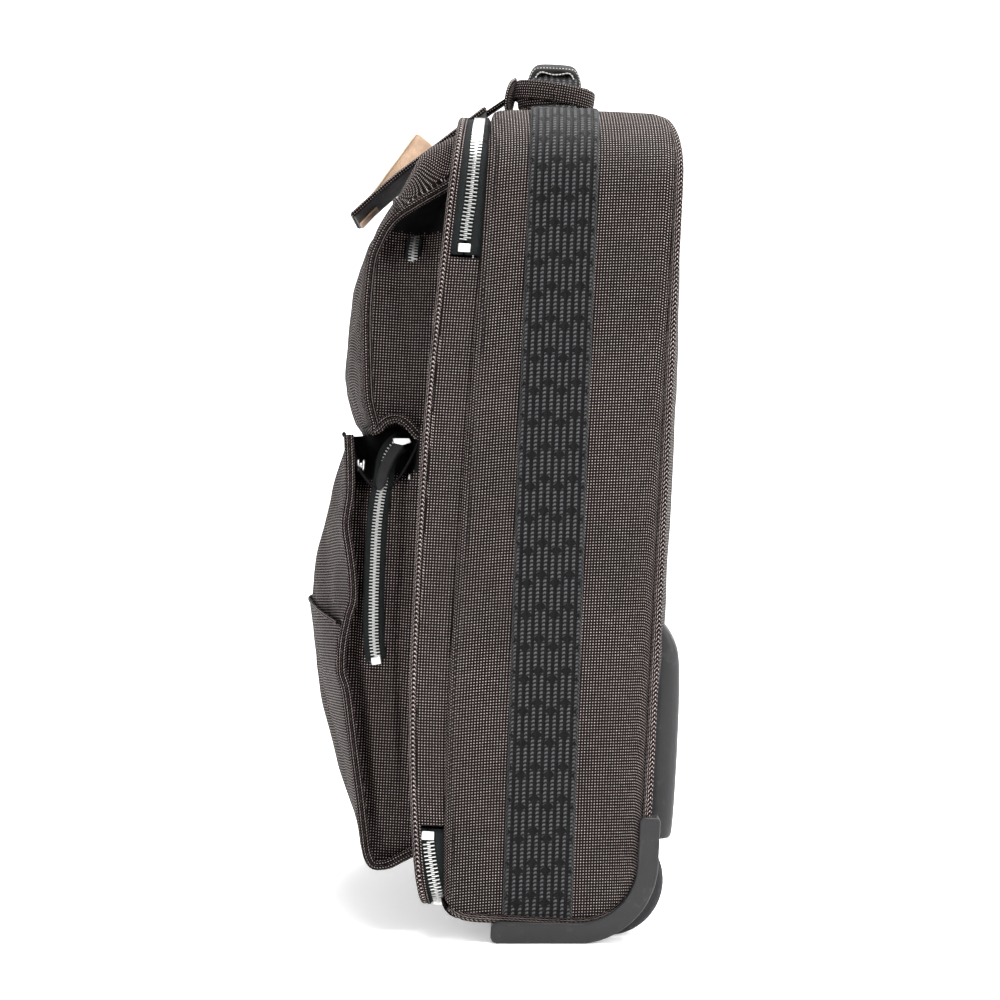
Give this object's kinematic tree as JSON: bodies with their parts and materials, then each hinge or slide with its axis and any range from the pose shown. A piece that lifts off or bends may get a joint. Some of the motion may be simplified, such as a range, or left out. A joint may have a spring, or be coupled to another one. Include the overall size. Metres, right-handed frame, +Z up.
{
  "type": "rolling laptop case",
  "caption": "Soft two-wheeled trolley case that stands upright, with a zipped book-opening lid, front pockets, carry handle, telescopic trolley handle, corner guards and a luggage tag.",
  "frame": {"origin": "on the floor, under the middle of the case's width and of its depth", "axes": "+Z up; the lid and the pockets face -Y, the wheels and the trolley handle are at +Y, +X is the case's right side seen from the front, where the lid is hinged"},
  "size_m": [0.345, 0.2384, 0.5587],
  "materials": {
    "cloth": "dotted two-tone woven polyester, matt",
    "piping": "the same cloth cut on the bias, matt",
    "webbing": null,
    "zip_tape": "fine black woven tape",
    "zip_metal": "bright nickel plate",
    "board": "moulded sheet",
    "guard": "satin fine-grained plastic",
    "housing": "satin fine-grained plastic",
    "tyre": "matt polyurethane tread",
    "hub": "satin moulded plastic",
    "steel": "plain drawn steel",
    "tube": "satin anodised",
    "grip": "soft-touch moulded plastic",
    "handle_pad": "smooth padded black leather, stitched",
    "leather_black": "smooth black leather with cut edges",
    "leather_tan": "natural vegetable-tanned leather"
  },
  "bodies": {
    "case": {"main_gusset": "cloth", "back_panel": "cloth", "bottom_panel": "cloth", "back_board": "board", "opening_frame": "steel", "back_piping": "piping", "webbing_band": "webbing", "corner_guard_left": "guard", "corner_guard_right": "guard", "wheel_well_left": "housing", "wheel_well_right": "housing", "axle_left": "steel", "axle_right": "steel", "trolley_housing": "housing", "trolley_bracket": "housing", "handle_cup": "housing", "outer_tube_left": "tube", "outer_tube_right": "tube", "body_zip_half": "zip_tape", "hinge_strip": "cloth", "carry_handle_strap": "webbing", "carry_handle_pad": "handle_pad", "tag_loop": "cloth"},
    "wheel_left": {"tyre_left": "tyre", "hub_left": "hub"},
    "wheel_right": {"tyre_right": "tyre", "hub_right": "hub"},
    "trolley_middle": {"middle_tube_left": "tube", "middle_tube_right": "tube"},
    "trolley_top": {"inner_tube_left": "tube", "inner_tube_right": "tube", "trolley_grip": "grip"},
    "button": {"release_button": "hub"},
    "lid": {"lid_zip_half": "zip_tape", "lid_band": "cloth", "lid_piping": "piping", "lid_panel": "cloth", "upper_pocket_gusset": "cloth", "upper_pocket_front": "cloth", "upper_pocket_piping": "piping", "upper_pocket_flap": "cloth", "upper_pocket_zip": "zip_tape", "lower_pocket_gusset": "cloth", "lower_pocket_front": "cloth", "slip_pocket": "cloth", "lower_pocket_piping": "piping", "lower_pocket_top": "cloth", "lower_pocket_zip": "zip_tape", "snap_button": "zip_metal"},
    "tag": {"tag_strap": "cloth", "tag_body": "leather_black", "tag_leather": "leather_tan"},
    "upper_slider": {"upper_zip_slider": "zip_metal"},
    "upper_pull": {"upper_zip_pull": "zip_metal", "upper_zip_tab": "leather_black"},
    "lower_slider": {"lower_zip_slider": "zip_metal"},
    "lower_pull": {"lower_zip_pull": "zip_metal", "lower_zip_tab": "leather_black"},
    "main_slider": {"main_zip_slider": "zip_metal"},
    "main_pull": {"main_zip_pull": "zip_metal"}
  },
  "joints": [
    {"name": "wheel_left_spin", "type": "hinge", "parent": "case", "child": "wheel_left", "pos_m": [-0.138, 0.07188, 0.034], "axis": [1, 0, 0], "continuous": true},
    {"name": "wheel_right_spin", "type": "hinge", "parent": "case", "child": "wheel_right", "pos_m": [0.138, 0.07188, 0.034], "axis": [1, 0, 0], "continuous": true},
    {"name": "trolley_lower_stage", "type": "slide", "parent": "case", "child": "trolley_middle", "axis": [0, 0.0499, 0.9988], "range_m": [0, 0.33]},
    {"name": "trolley_upper_stage", "type": "slide", "parent": "trolley_middle", "child": "trolley_top", "axis": [0, 0.0499, 0.9988], "range_m": [0, 0.33]},
    {"name": "button_press", "type": "slide", "parent": "trolley_top", "child": "button", "axis": [0, -0.0499, -0.9988], "range_m": [0, 0.003]},
    {"name": "lid_hinge", "type": "hinge", "parent": "case", "child": "lid", "pos_m": [0.1685, -0.02737, 0.25198], "axis": [0, 0.0499, 0.9988], "range_deg": [0, 104]},
    {"name": "tag_swing", "type": "hinge", "parent": "case", "child": "tag", "pos_m": [0.038, 0.01207, 0.54038], "axis": [-1, 0, 0], "range_deg": [0, 125]},
    {"name": "upper_zip_slide", "type": "slide", "parent": "lid", "child": "upper_slider", "axis": [0, 0.0499, 0.9988], "range_m": [-0.012, 0.02]},
    {"name": "upper_pull_swing", "type": "hinge", "parent": "upper_slider", "child": "upper_pull", "pos_m": [-0.1422, -0.04845, 0.43126], "axis": [0, 0.9988, -0.0499], "range_deg": [0, 150]},
    {"name": "lower_zip_slide", "type": "slide", "parent": "lid", "child": "lower_slider", "axis": [0, 0.0499, 0.9988], "range_m": [-0.006, 0.085]},
    {"name": "lower_pull_swing", "type": "hinge", "parent": "lower_slider", "child": "lower_pull", "pos_m": [-0.1473, -0.07341, 0.19221], "axis": [0, 0.9988, -0.0499], "range_deg": [0, 150]},
    {"name": "main_zip_slide", "type": "slide", "parent": "case", "child": "main_slider", "axis": [1, 0, 0], "range_m": [-0.03, 0.035]},
    {"name": "main_pull_swing", "type": "hinge", "parent": "main_slider", "child": "main_pull", "pos_m": [-0.072, -0.01451, 0.50946], "axis": [0, 0.9988, -0.0499], "range_deg": [0, 150]}
  ],
  "couplings": [
    {"joint": "tag_swing", "follows": "lid_hinge", "ratio": 1.2}
  ]
}
